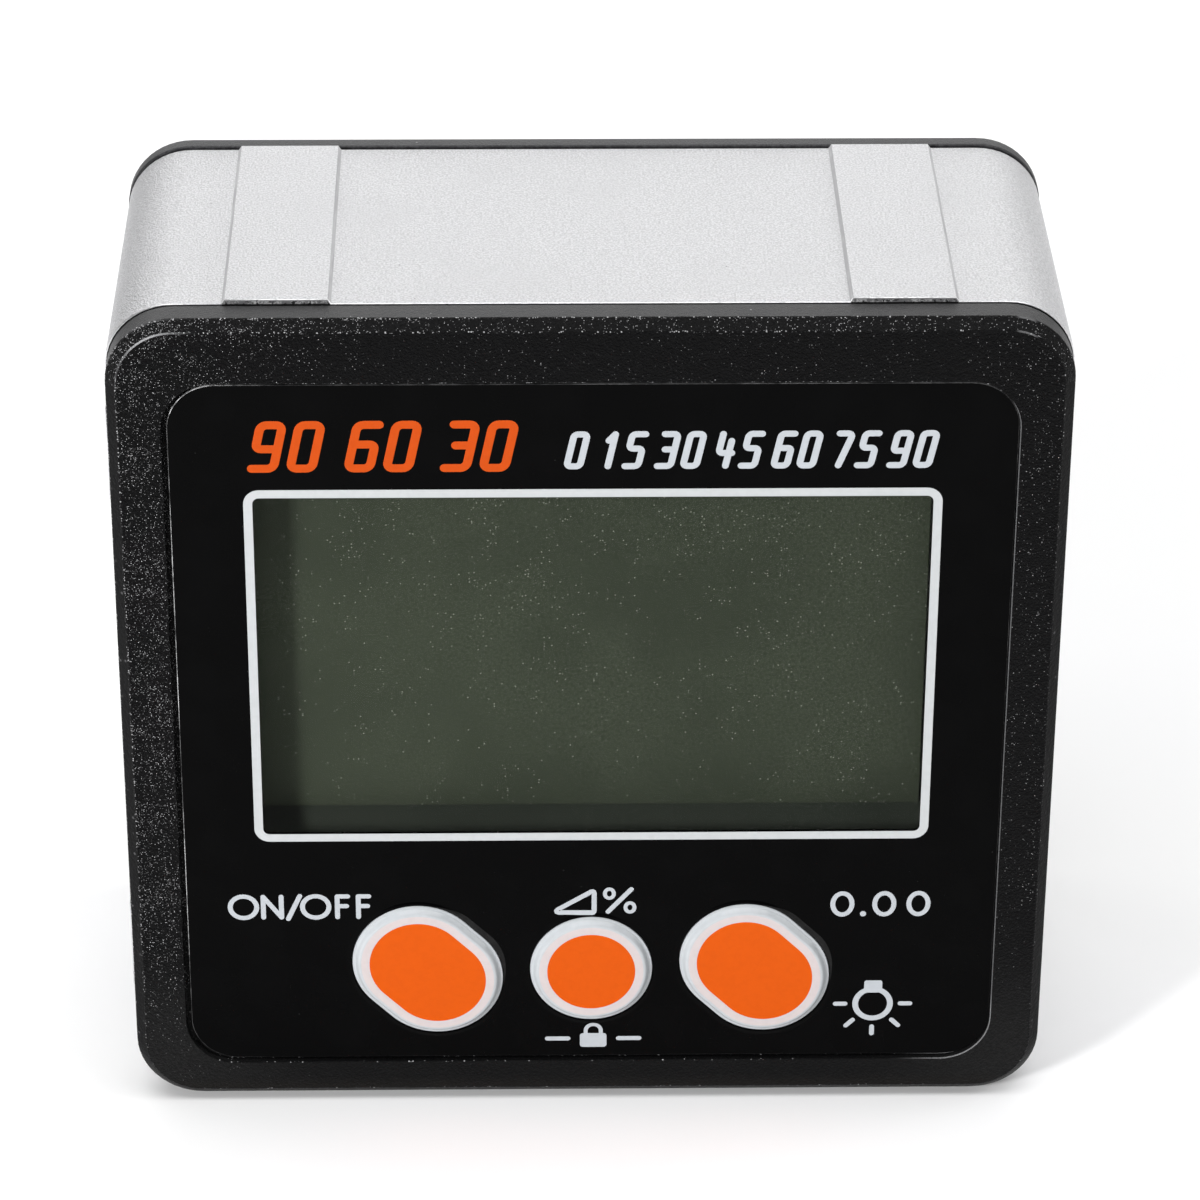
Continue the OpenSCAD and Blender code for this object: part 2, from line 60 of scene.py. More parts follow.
class Surface:
    """A node material built round one Principled shader. Coordinates are the piece's own, in millimetres."""

    def __init__(self, name, color, rough, metallic=0.0, specular=0.5, **sockets):
        self.m = bpy.data.materials.new(name)
        self.m.use_nodes = True
        self.nt = self.m.node_tree
        self.bsdf = self.nt.nodes["Principled BSDF"]
        self.color = tuple(color) + (1.0,)
        self.set("Base Color", self.color)
        self.set("Roughness", rough)
        self.set("Metallic", metallic)
        self.set("Specular IOR Level", specular)
        for k, v in sockets.items():
            self.set(k.replace("_", " "), v)
        self._mm = None
        self._bump = None
        self.m.diffuse_color = self.color

    def set(self, name, value):
        self.bsdf.inputs[name].default_value = value

    def node(self, kind, **values):
        n = self.nt.nodes.new(kind)
        for k, v in values.items():
            if hasattr(n, k):
                setattr(n, k, v)
            else:
                n.inputs[k.replace("_", " ")].default_value = v
        return n

    def link(self, a, b):
        self.nt.links.new(a, b)

    def mm(self):
        if self._mm is None:
            tc = self.node("ShaderNodeTexCoord")
            sc = self.node("ShaderNodeVectorMath", operation="SCALE")
            sc.inputs["Scale"].default_value = 1000.0
            self.link(tc.outputs["Object"], sc.inputs[0])
            self._mm = sc.outputs[0]
        return self._mm

    def stretched(self, x, y, z):
        v = self.node("ShaderNodeVectorMath", operation="MULTIPLY")
        self.link(self.mm(), v.inputs[0])
        v.inputs[1].default_value = (x, y, z)
        return v.outputs[0]

    def noise(self, per_mm, detail=2.0, rough=0.5, distortion=0.0, vector=None):
        n = self.node("ShaderNodeTexNoise", Scale=per_mm, Detail=detail, Roughness=rough, Distortion=distortion)
        self.link(vector or self.mm(), n.inputs["Vector"])
        return n.outputs["Fac"]

    def cells(self, per_mm, feature="F1"):
        v = self.node("ShaderNodeTexVoronoi", Scale=per_mm)
        v.feature = feature
        self.link(self.mm(), v.inputs["Vector"])
        return v.outputs["Distance"], v.outputs["Color"]

    def part(self, color, which):
        n = self.node("ShaderNodeSeparateColor")
        self.link(color, n.inputs[0])
        return n.outputs[which]

    def painted_glints(self, per_mm, chance, size=(0.15, 0.4), fade=0.25):
        """Painted glints: bright specks in the base colour that stand in for lone facets catching the light. chance (0
        to 1) of one in each cell of the texture.
        """
        dist, tint = self.cells(per_mm)
        lit = self.remap(self.math("ADD", self.part(tint, 0), chance), 1.0, 1.05)
        spot = self.math("MULTIPLY", self.remap(dist, size[0], size[1], 1.0, 0.0), lit)
        return self.math("MULTIPLY", spot, self.remap(self.part(tint, 1), 0.0, 1.0, fade, 1.0, smooth=False))

    def remap(self, value, lo, hi, to_lo=0.0, to_hi=1.0, smooth=True):
        r = self.node("ShaderNodeMapRange")
        r.interpolation_type = "SMOOTHSTEP" if smooth else "LINEAR"
        for k, v in (("From Min", lo), ("From Max", hi), ("To Min", to_lo), ("To Max", to_hi)):
            r.inputs[k].default_value = v
        self.link(value, r.inputs["Value"])
        return r.outputs["Result"]

    def math(self, op, a, b):
        n = self.node("ShaderNodeMath", operation=op)
        for i, v in enumerate((a, b)):
            if hasattr(v, "is_linked"):
                self.link(v, n.inputs[i])
            else:
                n.inputs[i].default_value = v
        return n.outputs[0]

    def axis(self, which):
        s = self.node("ShaderNodeSeparateXYZ")
        self.link(self.mm(), s.inputs[0])
        return s.outputs[which]

    def blend(self, fac, other):
        """Mixes another colour into the base colour."""
        mix = self.node("ShaderNodeMix", data_type="RGBA")
        self.link(fac, mix.inputs["Factor"])
        a, b = mix.inputs[6], mix.inputs[7]
        base = self.bsdf.inputs["Base Color"]
        if base.links:
            self.link(base.links[0].from_socket, a)
        else:
            a.default_value = base.default_value
        b.default_value = tuple(other) + (1.0,)
        self.link(mix.outputs[2], base)
        return self

    def vary_rough(self, value, lo, hi, at_lo=0.3, at_hi=0.7):
        self.link(self.remap(value, at_lo, at_hi, lo, hi, smooth=False), self.bsdf.inputs["Roughness"])
        return self

    def bump(self, height, strength, depth_mm):
        b = self.node("ShaderNodeBump", Strength=strength, Distance=depth_mm * MM)
        self.link(height, b.inputs["Height"])
        if self._bump is not None:
            self.link(self._bump, b.inputs["Normal"])
        self._bump = b.outputs["Normal"]
        self.link(self._bump, self.bsdf.inputs["Normal"])
        return self


def blasted_aluminium():
    s = Surface("blasted_aluminium", (0.52, 0.52, 0.531), 0.4, metallic=0.92)
    fine = s.noise(7.0, detail=2.5, rough=0.65)
    s.blend(s.remap(fine, 0.38, 0.64), (0.71, 0.71, 0.724))
    s.blend(s.remap(s.noise(0.16, detail=2.0), 0.45, 0.75, 0.0, 0.4), (0.58, 0.58, 0.592))
    dist, tint = s.cells(1.1)
    pit = s.math("MULTIPLY", s.remap(dist, 0.05, 0.09, 1.0, 0.0), s.remap(s.noise(0.6), 0.62, 0.66))
    s.blend(pit, (0.28, 0.28, 0.29))
    s.vary_rough(s.noise(3.0, detail=3.0), 0.34, 0.48)
    s.bump(fine, 1.0, 0.13)
    return s.m


def drawn_flank():
    """The pads' flanks, drawn by the die and duller than the blasted faces."""
    s = Surface("aluminium_flank", (0.33, 0.33, 0.338), 0.46, metallic=0.9)
    drawn = s.noise(2.2, detail=3.0, rough=0.6, vector=s.stretched(1.0, 0.12, 1.0))
    s.blend(s.remap(drawn, 0.4, 0.65), (0.44, 0.44, 0.45))
    s.vary_rough(drawn, 0.4, 0.54)
    s.bump(drawn, 0.25, 0.03)
    return s.m


def bright_edge():
    """The sleeve's edges, broken with a file and brighter than its blasted faces."""
    s = Surface("aluminium_edge", (0.78, 0.78, 0.79), 0.3, metallic=0.9)
    filed = s.noise(3.4, detail=3.0, rough=0.65)
    s.blend(s.remap(filed, 0.5, 0.72), (0.60, 0.60, 0.61))
    s.vary_rough(filed, 0.26, 0.42)
    s.bump(filed, 0.8, 0.05)
    return s.m


def moulded_black(name="moulded_black", extra=0.0, lift=0.0):
    """Spark-eroded black plastic. The glints of its texture's facets are painted in as bright specks, more of them
    towards the left, where the light comes from; the lower part is painted lighter for the light from the floor.
    """
    s = Surface(name, (0.0018 + lift, 0.0018 + lift, 0.0020 + lift), 0.36, specular=0.075)
    grain = s.noise(6.0, detail=2.5, rough=0.62)
    s.blend(s.remap(grain, 0.5, 0.75, 0.0, 0.8), (0.0042 + lift, 0.0042 + lift, 0.0046 + lift))
    x, z = s.axis("X"), s.axis("Z")
    # Lighter towards the bottom and lighter still towards the lower corners: painted light from the floor.
    low = s.remap(z, 3.0, 13.0, 1.0, 0.0)
    s.blend(s.math("MULTIPLY", low, 0.8), (0.0046, 0.0046, 0.0048))
    lower_corners_lit = s.math("MULTIPLY", low, s.remap(s.math("ABSOLUTE", x, 0.0), 17.0, 28.0))
    s.blend(s.math("MULTIPLY", lower_corners_lit, s.remap(grain, 0.35, 0.65, 0.4, 1.0)), (0.0112, 0.0112, 0.0112))
    # Painted glints, denser towards the left where the light comes from, and fewer low down.
    chance = s.math("ADD", s.remap(x, -29.0, -14.0, 0.28, 0.045 + extra), s.remap(x, 20.0, 30.0, 0.0, 0.03))
    chance = s.math("MULTIPLY", chance, s.remap(z, 3.0, 20.0, 0.14, 1.0))
    chance = s.math("MULTIPLY", chance, s.remap(s.noise(0.45, detail=2.0), 0.35, 0.65, 0.65, 1.35))
    # The upper chamfer's copy: lighter, with more painted glints towards the upper left corner, painted light on the
    # faces that face up.
    if extra:
        s.blend(s.remap(z, 54.3, 57.2, 1.0, 0.0), (0.0030, 0.0030, 0.0032))
        chance = s.math("ADD", chance, s.remap(x, -28.0, -24.5, 0.16, 0.0))
        chance = s.math("MULTIPLY", chance, s.remap(z, 54.3, 57.0, 0.15, 1.0))
    s.blend(s.painted_glints(13.0, chance, size=(0.18, 0.46), fade=0.10), (0.62, 0.62, 0.63))
    # Lighter along the lower edge: painted light from the floor.
    s.blend(s.remap(z, 0.9, 2.1, 0.8, 0.0), (0.0100, 0.0090, 0.0080))
    s.vary_rough(s.noise(1.1, detail=2.0), 0.28, 0.42)
    s.bump(grain, 1.0, 0.16)
    return s.m


def chamfer_black():
    """The mouldings' chamfers at the sides and below, which the mould left smoother."""
    s = Surface("moulded_black_chamfer", (0.0022, 0.0022, 0.0024), 0.36, specular=0.05)
    fine = s.noise(4.0, detail=3.0, rough=0.6)
    s.blend(s.remap(fine, 0.45, 0.7, 0.0, 0.9), (0.0042, 0.0042, 0.0044))
    # Painted glints.
    s.blend(s.painted_glints(3.0, 0.10), (0.07, 0.07, 0.072))
    # Lighter low down: painted light from the floor.
    s.blend(s.remap(s.axis("Z"), 0.9, 3.0, 1.0, 0.0), (0.0100, 0.0096, 0.0092))
    s.vary_rough(fine, 0.3, 0.44)
    s.bump(fine, 0.8, 0.05)
    return s.m


def rubbed_black_edge_painted_highlights():
    """The moulding's rounded edges, rubbed smoother in places; the light they catch is painted in: glints, a highlight
    along the upper left corner's arc, and highlights along the recess's right side and at its lower right corner.
    """
    s = Surface("moulded_black_edge", (0.0026, 0.0026, 0.0028), 0.34, specular=0.1)
    worn = s.noise(2.6, detail=4.0, rough=0.7)
    s.blend(s.remap(worn, 0.5, 0.7), (0.0060, 0.0060, 0.0064))
    x, z = s.axis("X"), s.axis("Z")
    # Painted glints, denser towards the left, fewer low down and to the right.
    chance = s.math("MULTIPLY", s.remap(x, -29.5, -22.0, 0.62, 0.42), s.remap(z, 4.0, 20.0, 0.35, 1.0))
    chance = s.math("MULTIPLY", chance, s.remap(x, 12.0, 29.0, 1.0, 0.3))
    s.blend(s.painted_glints(7.5, chance, size=(0.22, 0.5), fade=0.2), (0.60, 0.60, 0.61))
    # Painted highlight on the upper left corner's arc.
    corner = s.math("MULTIPLY", s.remap(x, -28.6, -24.6, 1.0, 0.0), s.remap(z, 53.5, 56.0, 0.0, 1.0))
    corner = s.math("MULTIPLY", corner, s.remap(s.axis("Y"), -14.15, -13.9, 1.0, 0.15))
    s.blend(s.math("MULTIPLY", corner, s.remap(x, -29.6, -27.8, 0.15, 1.0)), (0.36, 0.36, 0.37))
    # Painted highlights along the recess's right side and at its lower right corner.
    facing = s.math("MULTIPLY", s.remap(x, 20.5, 25.0), s.remap(z, 10.5, 6.5))
    rim = s.math("MULTIPLY", s.remap(x, 27.6, 28.0, 1.0, 0.0), s.remap(z, 2.7, 2.95))
    facing = s.math("MAXIMUM", s.math("MULTIPLY", facing, 0.9), s.remap(x, 26.4, 26.9, 0.0, 0.5))
    s.blend(s.math("MULTIPLY", facing, rim), (0.20, 0.20, 0.205))
    s.vary_rough(worn, 0.5, 0.26)
    s.bump(s.noise(7.0, detail=2.0), 1.0, 0.12)
    return s.m


def smooth_black(name, dark, pale):
    """The mouldings' outer walls: the same black, drawn smooth by the mould, but painted lighter than the front for the
    sheen they show: painted light.
    """
    s = Surface(name, (dark, dark, dark * 1.09), 0.45, specular=0.4)
    fine = s.noise(5.0, detail=4.0, rough=0.7)
    s.blend(s.remap(fine, 0.42, 0.62), (pale, pale, pale * 1.07))
    s.blend(s.remap(s.noise(0.5, detail=3.0), 0.45, 0.75, 0.0, 0.5), (dark * 1.3, dark * 1.3, dark * 1.42))
    # Painted glints.
    s.blend(s.painted_glints(1.6, 0.07, size=(0.05, 0.14)), (0.40, 0.40, 0.40))
    s.vary_rough(fine, 0.36, 0.54)
    s.bump(fine, 1.0, 0.05)
    return s.m


def cut_aluminium():
    """The sleeve's sawn ends, torn and brighter in places, and painted dark where they lie inside the joints' gaps:
    painted shade.
    """
    s = Surface("sawn_aluminium", (0.30, 0.30, 0.31), 0.4, metallic=0.6)
    torn = s.noise(2.4, detail=4.0, rough=0.7, distortion=0.6)
    s.blend(s.remap(torn, 0.46, 0.56), (0.80, 0.80, 0.81))
    s.blend(s.remap(s.noise(4.0, detail=3.0), 0.54, 0.62), (0.05, 0.05, 0.052))
    x, z = s.axis("X"), s.axis("Z")
    # Painted shade on the part of each end that lies within the sleeve's outline, inside the joint's gap.
    gap_shade = s.math("MULTIPLY", s.remap(z, 58.66, 58.72, 1.0, 0.0), s.remap(z, 0.28, 0.34))
    gap_shade = s.math("MULTIPLY", gap_shade, s.remap(s.math("ABSOLUTE", x, 0.0), 30.46, 30.52, 1.0, 0.0))
    s.blend(gap_shade, (0.014, 0.014, 0.0145))
    s.vary_rough(torn, 0.3, 0.6)
    s.bump(torn, 0.8, 0.05)
    return s.m


def gloss_black_film():
    s = Surface("film_black", (0.0009, 0.0009, 0.00098), 0.1, specular=0.034)
    s.blend(s.remap(s.noise(0.3, detail=3.0), 0.4, 0.7), (0.0013, 0.0013, 0.0014))
    dist, tint = s.cells(0.9)
    dust = s.math("MULTIPLY", s.remap(dist, 0.02, 0.045, 1.0, 0.0), s.remap(s.noise(0.5), 0.58, 0.62))
    s.blend(dust, (0.03, 0.03, 0.03))
    s.vary_rough(s.noise(0.4, detail=4.0), 0.07, 0.14)
    s.bump(s.noise(0.35, detail=1.0), 0.05, 0.02)
    return s.m


def sheen_band_film():
    """The film where it is drawn up along the outer keys' upper right flanks: glossier, and painted lighter there, a
    painted reflection.
    """
    s = Surface("film_sheen_band", (0.0012, 0.0012, 0.0013), 0.2, specular=0.2)
    s.blend(s.remap(s.noise(1.4, detail=3.0), 0.4, 0.65), (0.006, 0.006, 0.0062))
    s.vary_rough(s.noise(0.8, detail=3.0), 0.16, 0.3)
    s.bump(s.noise(3.0, detail=2.0), 0.2, 0.02)
    return s.m


def film_cut_edge():
    """The film's cut edge, clear at the rim; the light it catches along the left side is painted in as a highlight."""
    s = Surface("film_edge", (0.006, 0.006, 0.0063), 0.2, specular=0.2)
    nick = s.noise(1.6, detail=4.0, rough=0.7)
    # Painted highlight along the left edge, broken up and fading low down.
    left = s.remap(s.axis("X"), -26.8, -21.0, 1.0, 0.16)
    clear = s.math("MULTIPLY", left, s.remap(s.noise(0.16, detail=3.0, rough=0.6), 0.40, 0.58, 0.15, 1.0))
    clear = s.math("MULTIPLY", clear, s.remap(s.axis("Z"), 7.0, 19.0, 0.12, 1.0))
    s.blend(s.math("MULTIPLY", clear, s.remap(nick, 0.36, 0.6, 0.2, 1.0)), (0.62, 0.62, 0.625))
    s.vary_rough(nick, 0.4, 0.14)
    s.bump(s.noise(4.0, detail=2.0), 0.4, 0.02)
    return s.m


def printed(name, color, deep, rough=0.16, specular=0.25):
    s = Surface(name, color, rough, specular=specular)
    s.blend(s.remap(s.noise(2.2, detail=3.0), 0.35, 0.75, 0.0, 0.9), deep)
    s.vary_rough(s.noise(1.0, detail=3.0), rough - 0.04, rough + 0.06)
    s.bump(s.noise(5.0, detail=2.0), 0.04, 0.01)
    return s.m


def clear_film():
    s = Surface("film_clear", (0.004, 0.004, 0.004), 0.08, specular=0.3, Alpha=0.07)
    s.blend(s.remap(s.noise(0.5, detail=3.0), 0.4, 0.7), (0.007, 0.007, 0.007))
    s.vary_rough(s.noise(0.4, detail=4.0), 0.05, 0.12)
    s.m.surface_render_method = "BLENDED"
    return s.m


def screen_glass(name, color, grain_to, spark):
    s = Surface(name, color, 0.35, specular=0.03)
    fine = s.noise(5.0, detail=3.0, rough=0.75)
    s.blend(s.remap(fine, 0.38, 0.64, 0.0, 1.0), grain_to)
    s.blend(s.remap(s.noise(0.09, detail=2.0), 0.4, 0.65, 0.0, 0.5), tuple(c * 0.86 for c in color))
    paler = s.math("MULTIPLY", s.remap(s.axis("X"), -20.6, -17.0), s.remap(s.axis("X"), -15.0, 4.0, 0.2, 0.0))
    s.blend(paler, tuple(c * 1.1 for c in grain_to))
    # Painted glints of the screen's grain, none in the shaded band at the left.
    chance = s.math("MULTIPLY", s.remap(s.noise(0.5, detail=3.0), 0.4, 0.66, 0.09, 0.42), s.remap(s.axis("Z"), 26.0, 46.0, 0.6, 1.15))
    chance = s.math("MULTIPLY", chance, s.remap(s.axis("X"), -21.2, -19.6))
    s.blend(s.painted_glints(5.8, chance, size=(0.12, 0.38), fade=0.08), spark)
    s.vary_rough(fine, 0.3, 0.42)
    s.bump(fine, 0.15, 0.01)
    return s.m


def moulded(name, color, lift, rough, specular=0.4, per_mm=4.0):
    s = Surface(name, color, rough, specular=specular)
    s.blend(s.remap(s.noise(per_mm * 0.2, detail=3.0), 0.35, 0.7), lift)
    s.vary_rough(s.noise(per_mm * 0.5, detail=3.0), rough - 0.06, rough + 0.1)
    s.bump(s.noise(per_mm, detail=2.0), 0.18, 0.012)
    return s.m


def plated(name, color, dull, rough, lines=(1.0, 1.0, 1.0)):
    s = Surface(name, color, rough, metallic=1.0)
    drawn = s.noise(3.0, detail=4.0, rough=0.65, vector=s.stretched(*lines))
    s.blend(s.remap(drawn, 0.35, 0.7), dull)
    s.vary_rough(drawn, rough - 0.08, rough + 0.14)
    s.bump(drawn, 0.12, 0.01)
    return s.m


def circuit_board():
    s = Surface("solder_mask", (0.008, 0.085, 0.03), 0.3, specular=0.45)
    brick = s.node("ShaderNodeTexBrick", Scale=0.42)
    brick.inputs["Mortar Size"].default_value = 0.05
    turned = s.node("ShaderNodeMapping")
    turned.inputs["Rotation"].default_value = (math.radians(90), 0.0, 0.0)
    s.link(s.mm(), turned.inputs["Vector"])
    s.link(turned.outputs[0], brick.inputs["Vector"])
    s.blend(brick.outputs["Fac"], (0.02, 0.15, 0.055))
    s.blend(s.remap(s.noise(0.3, detail=3.0), 0.45, 0.7, 0.0, 0.6), (0.005, 0.06, 0.022))
    s.vary_rough(s.noise(1.2, detail=3.0), 0.24, 0.4)
    s.bump(brick.outputs["Fac"], 0.2, 0.03)
    return s.m


def cell_jacket(positive):
    """Jacket with a pale band next to the cap end; positive is the sign of x at which the cap lies."""
    s = Surface("cell_jacket_" + ("right" if positive > 0 else "left"), (0.018, 0.02, 0.026), 0.3, specular=0.45)
    end = s.remap(s.axis("X"), 10.6 * positive, 10.8 * positive, 0.0, 1.0)
    s.blend(end, (0.55, 0.30, 0.10))
    s.blend(s.remap(s.axis("X"), 21.9 * positive, 22.0 * positive, 0.0, 1.0), (0.62, 0.61, 0.59))
    s.blend(s.remap(s.axis("X"), -20.6 * positive, -20.8 * positive, 0.0, 1.0), (0.62, 0.61, 0.59))
    s.blend(s.remap(s.noise(0.7, detail=4.0), 0.5, 0.8, 0.0, 0.25), (0.2, 0.2, 0.2))
    s.vary_rough(s.noise(1.0, detail=4.0), 0.22, 0.42)
    s.bump(s.noise(2.0, detail=3.0), 0.06, 0.02)
    return s.m


def zebra():
    s = Surface("zebra_rubber", (0.02, 0.02, 0.022), 0.6, specular=0.25)
    w = s.node("ShaderNodeTexWave", Scale=1.6)
    w.bands_direction = "X"
    s.link(s.mm(), w.inputs["Vector"])
    s.blend(s.remap(w.outputs["Fac"], 0.4, 0.6), (0.22, 0.18, 0.16))
    s.vary_rough(s.noise(3.0, detail=3.0), 0.5, 0.7)
    s.bump(w.outputs["Fac"], 0.2, 0.02)
    return s.m


MAT = {
    "aluminium": blasted_aluminium(),
    "aluminium_cut": cut_aluminium(),
    "aluminium_edge": bright_edge(),
    "aluminium_flank": drawn_flank(),
    "black": moulded_black(),
    # A lighter copy for the chamfers that face up: painted light.
    "black_top_lit": moulded_black("moulded_black_top", 0.11, 0.0032),
    "black_chamfer": chamfer_black(),
    "black_wall": smooth_black("moulded_black_wall", 0.0055, 0.0250),
    # A lighter copy of the walls for the rear cover: painted light.
    "black_wall_rear_lit": smooth_black("moulded_black_wall_rear", 0.013, 0.042),
    "black_edge": rubbed_black_edge_painted_highlights(),
    "film_edge": film_cut_edge(),
    "film_sheen_band": sheen_band_film(),
    "film": gloss_black_film(),
    "white": printed("print_white", (0.50, 0.517, 0.526), (0.475, 0.492, 0.50), specular=0.1),
    "letter": printed("print_letter", (0.46, 0.485, 0.515), (0.435, 0.46, 0.487), specular=0.1),
    "orange_print": printed("print_orange", (0.53, 0.070, 0.0068), (0.50, 0.065, 0.0062), specular=0.06),
    "clear": clear_film(),
    "key_white": printed("key_white", (0.48, 0.503, 0.525), (0.457, 0.48, 0.50), rough=0.13, specular=0.45),
    "key_inner": printed("key_white_inner", (0.57, 0.503, 0.50), (0.545, 0.48, 0.477), rough=0.13, specular=0.45),
    "key_orange": printed("key_orange", (0.635, 0.089, 0.0044), (0.61, 0.084, 0.0041), rough=0.2, specular=0.05),
    "screen": screen_glass("screen_polariser", (0.0355, 0.0435, 0.029), (0.060, 0.072, 0.0485), (0.27, 0.28, 0.24)),
    "screen_bare": screen_glass("screen_glass", (0.0305, 0.0365, 0.028), (0.0445, 0.053, 0.041), (0.13, 0.14, 0.12)),
    "switch": moulded("switch_plastic", (0.014, 0.014, 0.015), (0.024, 0.024, 0.025), 0.45),
    "light_guide": moulded("light_guide_plastic", (0.72, 0.72, 0.69), (0.66, 0.66, 0.62), 0.3),
    "led": moulded("led_resin", (0.75, 0.62, 0.16), (0.68, 0.54, 0.12), 0.25),
    "elastomer": zebra(),
    "board": circuit_board(),
    "chip": moulded("chip_epoxy", (0.010, 0.010, 0.011), (0.018, 0.018, 0.019), 0.5, per_mm=8.0),
    "steel": plated("plated_steel", (0.50, 0.50, 0.50), (0.40, 0.40, 0.40), 0.32),
    "screw": plated("blackened_steel", (0.10, 0.10, 0.105), (0.065, 0.065, 0.07), 0.38),
    "nickel": plated("nickel_plate", (0.62, 0.61, 0.59), (0.5, 0.49, 0.47), 0.26, lines=(1.0, 0.15, 1.0)),
    "capacitor": moulded("capacitor_sleeve", (0.012, 0.02, 0.09), (0.02, 0.03, 0.13), 0.3),
    "cell_right": cell_jacket(1),
    "cell_left": cell_jacket(-1),
    "wire_red": moulded("wire_red", (0.38, 0.012, 0.012), (0.30, 0.01, 0.01), 0.4),
    "wire_black": moulded("wire_black", (0.012, 0.012, 0.012), (0.02, 0.02, 0.02), 0.4),
}


# ---------------------------------------------------------------- pieces


def add_piece(name, bm, mats, body, node=None, weighted=True, sharp=None):
    me = bpy.data.meshes.new(name)
    bm.normal_update()
    for f in bm.faces:
        f.smooth = True
    if sharp is not None:
        for e in bm.edges:
            if len(e.link_faces) == 2 and e.calc_face_angle(0.0) > math.radians(sharp):
                e.smooth = False
    bm.to_mesh(me)
    bm.free()
    for m in mats:
        me.materials.append(MAT[m])
    ob = bpy.data.objects.new(name, me)
    bpy.context.scene.collection.objects.link(ob)
    if weighted:
        w = ob.modifiers.new("weighted", "WEIGHTED_NORMAL")
        w.mode = "FACE_AREA"
        w.weight = 100
        w.keep_sharp = True
    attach(ob, body)
    if node:
        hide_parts(node)
    return ob


def softened(node, name, mats, body, widths, segments=3, paint=None, edge=-1, angle=24.0):
    """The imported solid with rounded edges. widths: (test of an edge's two ends, rounding in mm), first match wins.
    paint(normal, centre) gives a face's material index, and edge the index of the rounded edges."""
    bm = bmesh.new()
    bm.from_mesh(NODES[node].data)
    bmesh.ops.remove_doubles(bm, verts=bm.verts, dist=2e-7)
    bmesh.ops.dissolve_limit(bm, angle_limit=math.radians(0.35), use_dissolve_boundaries=False, verts=bm.verts, edges=bm.edges)
    weight = bm.edges.layers.float.new("bevel_weight_edge")
    widest = max(w for test, w in widths)

    def face_mm(co):
        return (co.x / MM, (co.y - FRONT_Y) / MM, (co.z - LOWER_Z) / MM)

    for e in bm.edges:
        if len(e.link_faces) != 2:
            continue
        turn = e.calc_face_angle(0.0)
        if turn > math.radians(angle):
            p, q = (face_mm(v.co) for v in e.verts)
            e[weight] = next((w for test, w in widths if test(p, q)), 0.0) / widest
        if turn > math.radians(38.0) and e[weight] == 0.0:
            e.smooth = False
    if paint:
        bm.normal_update()
        for f in bm.faces:
            f.material_index = paint(f.normal, face_mm(f.calc_center_median()))
    ob = add_piece(name, bm, mats, body, node=node, weighted=False)
    b = ob.modifiers.new("rounded", "BEVEL")
    b.limit_method = "WEIGHT"
    b.width = widest * MM
    b.segments = segments
    b.use_clamp_overlap = False
    b.offset_type = "OFFSET"
    b.material = edge
    w = ob.modifiers.new("weighted", "WEIGHTED_NORMAL")
    w.mode = "FACE_AREA"
    w.weight = 100
    w.keep_sharp = True
    return ob


def cad_look(node, *mats):
    ob = NODES[node]
    ob.data.materials.clear()
    for m in mats:
        ob.data.materials.append(MAT[m])


# Loops of points (x, z) in the face frame


def rrect(w, h, r, cz, n=10):
    pts = []
    for cx, cy, a0 in ((1, 1, 0), (-1, 1, 90), (-1, -1, 180), (1, -1, 270)):
        for k in range(n + 1):
            a = math.radians(a0 + 90 * k / n)
            pts.append((cx * (w / 2 - r) + r * math.cos(a), cz + cy * (h / 2 - r) + r * math.sin(a)))
    return pts


KEY_Z, KEY_PITCH, KEY_R, LOBE_R, LOBE_OFF = 10.1, 10.95, 4.1, 4.4, 0.64
KEYS = {"power": (-KEY_PITCH, LOBE_R, LOBE_OFF), "hold": (0.0, KEY_R, 0.0), "zero": (KEY_PITCH, LOBE_R, LOBE_OFF)}


def key_loop(which, grow, n=40):
    cx, r, off = KEYS[which]
    pts = []
    for sgn, a0 in ((1, -135), (-1, 45)):
        for k in range(n + 1):
            if off == 0 and k == n:
                continue
            a = math.radians(a0 + 180 * k / n)
            pts.append((cx + sgn * off + (r + grow) * math.cos(a), KEY_Z - sgn * off + (r + grow) * math.sin(a)))
    return pts


def key_distance(which, x, z):
    cx, r, off = KEYS[which]
    px, pz = x - cx, z - KEY_Z
    if off:
        t = max(-1.0, min(1.0, (px - pz) / (2 * off)))
        px, pz = px - t * off, pz + t * off
    return math.hypot(px, pz) - r


def inside(loop, x, z):
    hit = False
    j = len(loop) - 1
    for i in range(len(loop)):
        xi, zi = loop[i]
        xj, zj = loop[j]
        if (zi > z) != (zj > z) and x < (xj - xi) * (z - zi) / (zj - zi) + xi:
            hit = not hit
        j = i
    return hit


# ---------------------------------------------------------------- printed signs, as strokes


